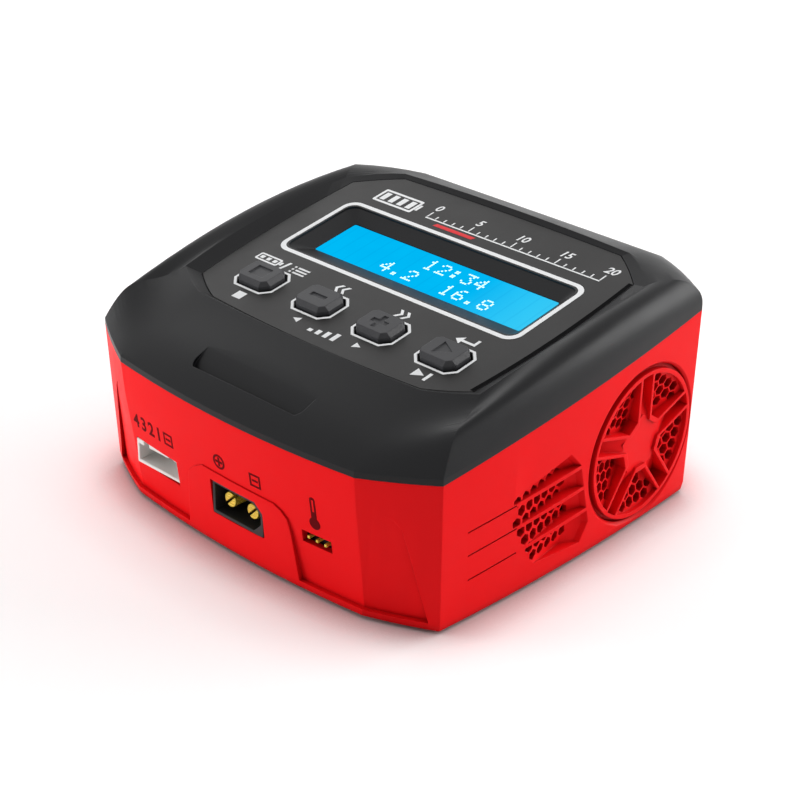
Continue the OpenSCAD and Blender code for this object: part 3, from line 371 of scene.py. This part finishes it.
def refined(node, body="case", crease=20.0, bevel=0.0):
    """A copy of a node's mesh, welded, smooth between its creases and with a bevel in millimetres."""
    mesh = nodes[node].data.copy()
    for spare in [a.name for a in mesh.attributes if a.name == "custom_normal"]:
        mesh.attributes.remove(mesh.attributes[spare])
    shape = bmesh.new()
    shape.from_mesh(mesh)
    bmesh.ops.remove_doubles(shape, verts=shape.verts, dist=WELD)
    flat = math.radians(FLAT_ANGLE)
    bmesh.ops.dissolve_limit(shape, angle_limit=flat, verts=shape.verts, edges=shape.edges)
    for face in shape.faces:
        face.smooth = True
    shape.to_mesh(mesh)
    shape.free()
    mesh.set_sharp_from_angle(angle=math.radians(crease))
    piece = link_piece(node + "_skin", mesh, body)
    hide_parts(node)
    if bevel:
        rounding = piece.modifiers.new("rounding", "BEVEL")
        rounding.width = bevel * MM
        rounding.segments = BEVEL_SEGMENTS
        rounding.limit_method = "ANGLE"
        rounding.angle_limit = math.radians(BEVEL_ANGLE)
        rounding.harden_normals = True
        rounding.use_clamp_overlap = True
    return piece


base = refined("base_case", crease=14)
refined("top_cover", crease=8, bevel=0.25)
refined("fan_grille", crease=25)
refined("faceplate")
refined("lcd_bezel")
for key in KEYS:
    refined(key + "_key", body=key + "_key", bevel=0.16)
BEVELS = {
    "output_housing": 0.2,
    "output_pins": 0.25,
    "balance_socket": 0.15,
    "balance_pins": 0.12,
    "sensor_header": 0.15,
    "sensor_pins": 0.15,
    "mains_inlet": 0.4,
    "mains_pins": 0.5,
    "rubber_feet": 0.3,
    "fan_frame": 0.2,
}
for node, bevel in BEVELS.items():
    refined(node, bevel=bevel)
refined("fan_rotor", body="fan_rotor", bevel=0.15)


# Flat shapes, as loops of points in millimetres
def box_loop(u, v, width, height):
    return [(u - width / 2, v - height / 2), (u + width / 2, v - height / 2),
            (u + width / 2, v + height / 2), (u - width / 2, v + height / 2)]


def round_loop(u, v, width, height, radius, steps=8):
    points = []
    for turn, (sx, sy) in enumerate(((1, 1), (-1, 1), (-1, -1), (1, -1))):
        for k in range(steps + 1):
            angle = math.pi / 2 * (turn + k / steps)
            points.append((u + sx * (width / 2 - radius) + radius * math.cos(angle),
                           v + sy * (height / 2 - radius) + radius * math.sin(angle)))
    return points


def cut_loop(u, v, width, height, cut):
    x, y = width / 2, height / 2
    corners = [(-x + cut, -y), (x - cut, -y), (x, -y + cut), (x, y - cut),
               (x - cut, y), (-x + cut, y), (-x, y - cut), (-x, -y + cut)]
    return [(u + a, v + b) for a, b in corners]


def disc_loop(u, v, radius, steps=32):
    turns = [2 * math.pi * k / steps for k in range(steps)]
    return [(u + radius * math.cos(a), v + radius * math.sin(a)) for a in turns]


def moved(loop, u, v, scale=1.0):
    return [(u + scale * a, v + scale * b) for a, b in loop]


def sheet_mesh(name, loops, thick, material):
    """A thin plate bounded by the loops, with holes where loops lie inside one another."""
    curve = bpy.data.curves.new(name, "CURVE")
    curve.dimensions = "2D"
    curve.fill_mode = "BOTH"
    curve.extrude = thick / 2
    for loop in loops:
        line = curve.splines.new("POLY")
        line.points.add(len(loop) - 1)
        for point, (u, v) in zip(line.points, loop):
            point.co = (u, v, 0, 1)
        line.use_cyclic_u = True
    return curve_to_mesh(name, curve, material)


def curve_to_mesh(name, curve, material):
    holder = bpy.data.objects.new(name, curve)
    bpy.context.scene.collection.objects.link(holder)
    ready = holder.evaluated_get(bpy.context.evaluated_depsgraph_get())
    mesh = bpy.data.meshes.new_from_object(ready)
    bpy.data.objects.remove(holder)
    bpy.data.curves.remove(curve)
    mesh.materials.clear()
    mesh.materials.append(material)
    return mesh


def numeral_mesh(name, words, size, thick, material, shear=0.0, weight=0.0):
    """Plain numerals, set round (0, 0)."""
    curve = bpy.data.curves.new(name, "FONT")
    curve.body = words
    curve.size = size
    curve.shear = shear
    curve.offset = weight
    curve.extrude = thick / 2
    curve.align_x = "CENTER"
    curve.align_y = "CENTER"
    return curve_to_mesh(name, curve, material)


def join_meshes(name, meshes):
    whole = bmesh.new()
    for mesh in meshes:
        whole.from_mesh(mesh)
    joined = bpy.data.meshes.new(name)
    whole.to_mesh(joined)
    whole.free()
    joined.materials.append(meshes[0].materials[0])
    return joined


def print_on_plate(name, meshes, lift=0.0):
    """Lays flat meshes on the plate, or below it where lift is negative."""
    mesh = join_meshes(name, meshes)
    mesh.transform(PLATE @ Matrix.Scale(MM, 4) @ Matrix.Translation((0, 0, lift)))
    return link_piece(name, mesh, "case")


# Printing on the plate
INK = 0.04
DISPLAY_RING = (73.6, 25.8)
DISPLAY_LINE = 1.15
KEY_RING = (12.6, 10.2)
KEY_LINE = 0.6


def ink_on_plate(name, loops, ink=WHITE_INK):
    return print_on_plate(name, [sheet_mesh(name, loops, INK, ink)], lift=INK / 2)


def inner_size(size, line):
    """Width and height inside an outline of the given line."""
    return [side - 2 * line for side in size]


key_spots = [middle_on_plate(key + "_plunger") for key in KEYS]
well_u, well_v = middle_on_plate("lcd_bezel")
display_ring = [round_loop(well_u, well_v, *DISPLAY_RING, 3.4),
                round_loop(well_u, well_v, *inner_size(DISPLAY_RING, DISPLAY_LINE), 2.6)]
ink_on_plate("display_ring", display_ring)
key_rings = []
for u, v in key_spots:
    key_rings.append(cut_loop(u, v, *KEY_RING, 2.2))
    key_rings.append(cut_loop(u, v, *inner_size(KEY_RING, KEY_LINE), 1.9))
ink_on_plate("key_rings", key_rings)


# Small pictures beside the keys
def battery_picture(u, v, width, height, line, bars):
    """A cell outline with a terminal at its right end and some charge bars."""
    hollow = round_loop(u, v, *inner_size((width, height), line), 0.25)
    loops = [round_loop(u, v, width, height, 0.5), hollow]
    loops.append(box_loop(u + width / 2 + 0.5, v, 0.7, height * 0.45))
    step = (width - 2 * line) / bars
    for k in range(bars):
        centre = u - width / 2 + line + step * (k + 0.5)
        loops.append(box_loop(centre, v, step * 0.55, height - 3.4 * line))
    return loops


def list_picture(u, v):
    """Three rows, each a dot and a line."""
    rows = [v + 1.05 * k for k in (-1, 0, 1)]
    lines = [box_loop(u + 0.6, row, 3.6, 0.55) for row in rows]
    dots = [box_loop(u - 2.1, row, 0.6, 0.55) for row in rows]
    return lines + dots


def arrow_loop(u, v, size, facing):
    return [(u - facing * size * 0.5, v - size * 0.5), (u + facing * size * 0.5, v),
            (u - facing * size * 0.5, v + size * 0.5)]


def chevron_loop(u, v, facing):
    return [(u - facing * 0.9, v - 1.4), (u - facing * 0.1, v - 1.4), (u + facing * 0.9, v),
            (u - facing * 0.1, v + 1.4), (u - facing * 0.9, v + 1.4), (u + facing * 0.1, v)]


def return_loop(u, v):
    """An arrow that comes down and turns back to the left."""
    arrow = [(2.6, 1.6), (2.6, -0.7), (-1.2, -0.7), (-1.2, -1.7), (-3, -0.35),
             (-1.2, 1), (-1.2, 0), (1.9, 0), (1.9, 1.6)]
    return moved(arrow, u, v)


UPPER_V = -8.1
LOWER_V = -22.8
LEFT, RIGHT = -1, 1
SLASH = [(-0.3, -1.6), (0.4, -1.6), (1.1, 1.6), (0.4, 1.6)]
stop_labels = battery_picture(-33.6, UPPER_V, 7.2, 2.8, 0.5, 3)
stop_labels += [moved(SLASH, -28.4, UPPER_V)]
stop_labels += list_picture(-23.4, UPPER_V)
chevrons = [chevron_loop(u, UPPER_V, LEFT) for u in (-10.6, -8.6)]
chevrons += [chevron_loop(u, UPPER_V, RIGHT) for u in (8.6, 10.6)]
lower_labels = [box_loop(-27.6, LOWER_V, 2.6, 2.6)]
lower_labels += [arrow_loop(-9.2, LOWER_V + 0.3, 1.9, LEFT), arrow_loop(9.9, LOWER_V + 0.1, 1.9, RIGHT)]
lower_labels += [box_loop(-3.4 + 2.3 * k, LOWER_V - 1.1 + 0.3 * k, 1.2, 1 + 0.6 * k) for k in range(4)]
lower_labels += [arrow_loop(28.2, LOWER_V, 2.8, RIGHT), box_loop(30.6, LOWER_V, 0.8, 2.8)]
ink_on_plate("key_labels", stop_labels + chevrons + [return_loop(28.4, UPPER_V)] + lower_labels)

# A plain graduated scale above the display
SCALE_V = 26.2
SCALE_FROM = -16
SCALE_STEP = 2.6
SCALE_COUNT = 20
SCALE_LONG = 5
TICK = 0.35
scale_length = SCALE_STEP * SCALE_COUNT
scale = [box_loop(SCALE_FROM + scale_length / 2, SCALE_V, scale_length + TICK, 0.4)]
for k in range(SCALE_COUNT + 1):
    height = 2.2 if k % SCALE_LONG == 0 else 1.2
    scale.append(box_loop(SCALE_FROM + SCALE_STEP * k, SCALE_V + 0.4 + height / 2, TICK, height))
scale += battery_picture(-27.2, 28.4, 12.5, 5.6, 0.7, 4)
scale_meshes = [sheet_mesh("scale", scale, INK, WHITE_INK)]
for k in range(0, SCALE_COUNT + 1, SCALE_LONG):
    words = numeral_mesh("scale_number", str(k), 3.4, INK, WHITE_INK, shear=0.15, weight=0.06)
    words.transform(Matrix.Translation((SCALE_FROM + SCALE_STEP * k, SCALE_V + 4.6, 0)))
    scale_meshes.append(words)
print_on_plate("scale_print", scale_meshes, lift=INK / 2)
BAR = [(-6, -0.55), (6, -0.55), (6.5, 0.55), (-5.5, 0.55)]
ink_on_plate("red_bar", [moved(BAR, -6, 24.7)], RED_INK)

# Dot-matrix numerals in the lit window, five dots by seven
DOTS = {
    "0": "01110 10001 10011 10101 11001 10001 01110",
    "1": "00100 01100 00100 00100 00100 00100 01110",
    "2": "01110 10001 00001 00010 00100 01000 11111",
    "3": "11111 00010 00100 00010 00001 10001 01110",
    "4": "00010 00110 01010 10010 11111 00010 00010",
    "6": "00110 01000 10000 11110 10001 10001 01110",
    "8": "01110 10001 10001 01110 10001 10001 01110",
    ":": "00000 01100 01100 00000 01100 01100 00000",
    ".": "00000 00000 00000 00000 00000 01100 01100",
    " ": "00000 00000 00000 00000 00000 00000 00000",
}
DOT_PITCH = 0.6
DOT_SIZE = 0.45


def dot_line(words, u, v):
    """Loops for every lit dot of a line of characters, with its middle at u, v."""
    loops = []
    for place, mark in enumerate(words):
        cell_u = u + (place - (len(words) - 1) / 2) * CELL_PITCH
        for row, pattern in enumerate(DOTS[mark].split()):
            for column, dot in enumerate(pattern):
                if dot == "1":
                    dot_u = cell_u + (column - 2) * DOT_PITCH
                    loops.append(box_loop(dot_u, v + (3 - row) * DOT_PITCH, DOT_SIZE, DOT_SIZE))
    return loops


lit_u, lit_v = middle_on_plate("lcd_glass")
LINE_HALF = 3
dots = dot_line("12:34", lit_u + 4.4, lit_v + LINE_HALF)
dots += dot_line("4.2  16.8", lit_u + 3.4, lit_v - LINE_HALF)
dot_mesh = sheet_mesh("display_dots", dots, INK, DOT_INK)
print_on_plate("display_dots", [dot_mesh], lift=lcd_high[2] + INK / 2)

# Painted shadow: a near-black strip on the plate beside the rim, along the right edge
RIM_SHADE_FROM, RIM_SHADE_TO = 0.05, 1.15
EDGE_REACH = 1.8
plate_points = points_on_plate("faceplate")
edge_from = max(point.x for point in plate_points) - EDGE_REACH
edge = {(round(point.x, 3), round(point.y, 3)) for point in plate_points if point.x > edge_from}
edge = sorted(edge, key=lambda point: point[1])
rim_shade_strip = [(u - RIM_SHADE_FROM, v) for u, v in edge] + [(u - RIM_SHADE_TO, v) for u, v in reversed(edge)]
print_on_plate("plate_rim_shade", [sheet_mesh("plate_rim_shade", [rim_shade_strip], INK, RIM_SHADE_INK)])

# Marks on the front wall beside the sockets: sheets of dark red, a painted shade of sunk marks
wall = BVHTree.FromObject(base, bpy.context.evaluated_depsgraph_get())
MARK = 0.04
MARK_PROUD = 0.03
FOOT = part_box("base_case")[0].z / MM


def mark_on_front(name, meshes):
    """Wraps flat marks, drawn in millimetres across and up, onto the front wall."""
    mesh = join_meshes(name, meshes)
    for vertex in mesh.vertices:
        start = Vector((vertex.co.x * MM, -1, vertex.co.y * MM))
        hit = wall.ray_cast(start, Vector((0, 1, 0)))[0]
        vertex.co = hit - Vector((0, (MARK_PROUD + vertex.co.z) * MM, 0))
    return link_piece(name, mesh, "case")


def minus_box(u, v, size):
    """A minus sign in a square outline."""
    inner = size - 0.9
    return [box_loop(u, v, size, size), box_loop(u, v, inner, inner), box_loop(u, v, size - 1.5, 0.5)]


def plus_disc(u, v, radius):
    """A plus sign in a round outline."""
    arms = [(-1, 4), (1, 4), (1, 1), (4, 1), (4, -1), (1, -1),
            (1, -4), (-1, -4), (-1, -1), (-4, -1), (-4, 1), (-1, 1)]
    return [disc_loop(u, v, radius), disc_loop(u, v, radius - 0.5), moved(arms, u, v, radius / 6.6)]


def thermometer(u, v):
    """An outlined stem, closed below by a full bulb."""
    turns = [math.radians(120 + 300 * k / 24) for k in range(25)]
    bulb = [(u + 1.45 * math.cos(a), v + 1.45 * math.sin(a)) for a in turns]
    stem = [(u + 0.72, v + 6), (u + 0.5, v + 6.4), (u, v + 6.55), (u - 0.5, v + 6.4), (u - 0.72, v + 6)]
    hollow = box_loop(u, v + 4.4, 0.6, 3)
    return [bulb + stem, hollow]


FIRST_NUMBER = (-33.65, 20.1 + FOOT)
NUMBER_PITCH = 2.93
NUMBER_SIZE = 4.8
NARROW = Matrix.Diagonal((0.92, 1, 1, 1))
number_marks = []
for k, number in enumerate("4321"):
    words = numeral_mesh("cell_number", number, NUMBER_SIZE, MARK, SUNK_MARK_SHADE, weight=0.1)
    spot = (FIRST_NUMBER[0] + NUMBER_PITCH * k, FIRST_NUMBER[1], 0)
    words.transform(Matrix.Translation(spot) @ NARROW)
    number_marks.append(words)
signs = minus_box(-21.3, 20.3 + FOOT, 3.2) + plus_disc(-3.2, 22.4 + FOOT, 1.83)
signs += minus_box(8.1, 22.2 + FOOT, 3.25) + thermometer(24.75, 18.3 + FOOT)
mark_on_front("socket_numbers", number_marks)
mark_on_front("socket_signs", [sheet_mesh("socket_signs", signs, MARK, SUNK_MARK_SHADE)])


# Stage: pale floor, soft light and the camera
WHITE = (1, 1, 1, 1)
SKY_TOWARD = (0.7, -0.7, 0)
SKY_LIGHT = ((-0.4, 0.5), (0.2, 0.36), (1, 0.05))
FLOOR_RADIUS = 3
FLOOR_GLOW = 0.16
PAPER_DARK = (0.93, 0.93, 0.93, 1)
PAPER_PALE = (0.95, 0.95, 0.95, 1)
PAINTED_CONTACT_SHADOW = (0.66, 0.54, 0.54, 1)
CONTACT_REACH = 0.012


def background_rays(tree):
    """One for rays that see the white background: from the camera, off gloss and through glass."""
    path = tree.nodes.new("ShaderNodeLightPath")
    shown = path.outputs["Is Camera Ray"]
    for kind in ("Is Glossy Ray", "Is Transmission Ray"):
        either = tree.nodes.new("ShaderNodeMath")
        either.operation = "MAXIMUM"
        tree.links.new(shown, either.inputs[0])
        tree.links.new(path.outputs[kind], either.inputs[1])
        shown = either.outputs[0]
    return shown


def make_floor():
    """White paper, with a painted contact shadow where the object stands close over it, pink like a painted red
    reflection.
    """
    bpy.ops.mesh.primitive_circle_add(vertices=96, radius=FLOOR_RADIUS, fill_type="NGON")
    floor = bpy.context.object
    floor.name = "floor"
    finish = Finish("floor_paper", Roughness=0.7, Specular_IOR_Level=0.1, Emission_Color=WHITE)
    paper = finish.mix(finish.noise(0.004, detail=4), PAPER_DARK, PAPER_PALE)
    # Painted contact shadow: near the object the paper darkens to a pink tint and loses its glow.
    free = finish.ramp(finish.openness(CONTACT_REACH), 0.5, 0.95, 0, 1)
    finish.link(finish.mix(free, PAINTED_CONTACT_SHADOW, paper), "Base Color")
    seen = finish.math("MULTIPLY", background_rays(finish.tree), FLOOR_GLOW)
    finish.link(finish.math("MULTIPLY", free, seen), "Emission Strength")
    floor.data.materials.append(finish.material)


def sky_fade(tree, toward, stops):
    """A smooth fade over the sky along a direction; stops are (place from -1 to 1, level)."""
    place = tree.nodes.new("ShaderNodeTexCoord")
    along = tree.nodes.new("ShaderNodeVectorMath")
    along.operation = "DOT_PRODUCT"
    along.inputs[1].default_value = Vector(toward).normalized()
    tree.links.new(place.outputs["Generated"], along.inputs[0])
    share = tree.nodes.new("ShaderNodeMapRange")
    share.inputs["From Min"].default_value = -1
    tree.links.new(along.outputs["Value"], share.inputs["Value"])
    fade = tree.nodes.new("ShaderNodeValToRGB")
    fade.color_ramp.interpolation = "EASE"
    while len(fade.color_ramp.elements) < len(stops):
        fade.color_ramp.elements.new(0.5)
    for element, (position, level) in zip(fade.color_ramp.elements, stops):
        element.position = (position + 1) / 2
        element.color = (level, level, level, 1)
    tree.links.new(share.outputs["Result"], fade.inputs["Fac"])
    sky = tree.nodes.new("ShaderNodeBackground")
    tree.links.new(fade.outputs["Color"], sky.inputs["Color"])
    return sky


def make_world():
    """White background; the light from the sky fades toward the camera's side."""
    world = bpy.data.worlds.new("studio")
    bpy.context.scene.world = world
    world.use_nodes = True
    tree = world.node_tree
    backdrop = tree.nodes["Background"]
    backdrop.inputs["Color"].default_value = WHITE
    ambient = sky_fade(tree, SKY_TOWARD, SKY_LIGHT)
    chosen = tree.nodes.new("ShaderNodeMixShader")
    tree.links.new(background_rays(tree), chosen.inputs[0])
    tree.links.new(ambient.outputs[0], chosen.inputs[1])
    tree.links.new(backdrop.outputs[0], chosen.inputs[2])
    tree.links.new(chosen.outputs[0], tree.nodes["World Output"].inputs["Surface"])


def soft_light(name, place, size, power, mirrored=False):
    """A soft panel, which glossy surfaces show only where it is mirrored."""
    lamp = bpy.data.lights.new(name, "AREA")
    lamp.shape = "RECTANGLE"
    lamp.size, lamp.size_y = size
    lamp.energy = power
    holder = bpy.data.objects.new(name, lamp)
    bpy.context.scene.collection.objects.link(holder)
    holder.location = place
    holder.rotation_euler = (VIEW_TARGET - Vector(place)).to_track_quat("-Z", "Y").to_euler()
    holder.visible_glossy = mirrored


def make_camera():
    azimuth, elevation = math.radians(VIEW_AZIMUTH), math.radians(VIEW_ELEVATION)
    level = math.cos(elevation)
    back = Vector((math.sin(azimuth) * level, -math.cos(azimuth) * level, math.sin(elevation)))
    camera = bpy.data.cameras.new("camera")
    camera.sensor_width = SENSOR
    camera.lens = SENSOR * FOCAL_PIXELS / IMAGE_SIZE
    camera.shift_x = (IMAGE_SIZE / 2 - CENTRE_PIXEL[0]) / IMAGE_SIZE
    camera.shift_y = (CENTRE_PIXEL[1] - IMAGE_SIZE / 2) / IMAGE_SIZE
    camera.clip_start = 0.01
    holder = bpy.data.objects.new("camera", camera)
    bpy.context.scene.collection.objects.link(holder)
    holder.location = VIEW_TARGET + back * VIEW_DISTANCE
    holder.rotation_euler = (-back).to_track_quat("-Z", "Y").to_euler()
    bpy.context.scene.camera = holder


make_floor()
make_world()
soft_light("right_back_panel", (0.5, 0.8, 0.3), (0.9, 0.56), 8, mirrored=True)
soft_light("left_panel", (-0.88, -0.6, 0.13), (0.7, 0.24), 8.8)
soft_light("left_card", (-0.28, 0.12, 0.17), (0.14, 0.14), 0.035, mirrored=True)
soft_light("top_panel", (0.0, 0.1, 1.1), (0.9, 0.9), 5.5)
make_camera()
bpy.context.scene.view_settings.view_transform = "Standard"
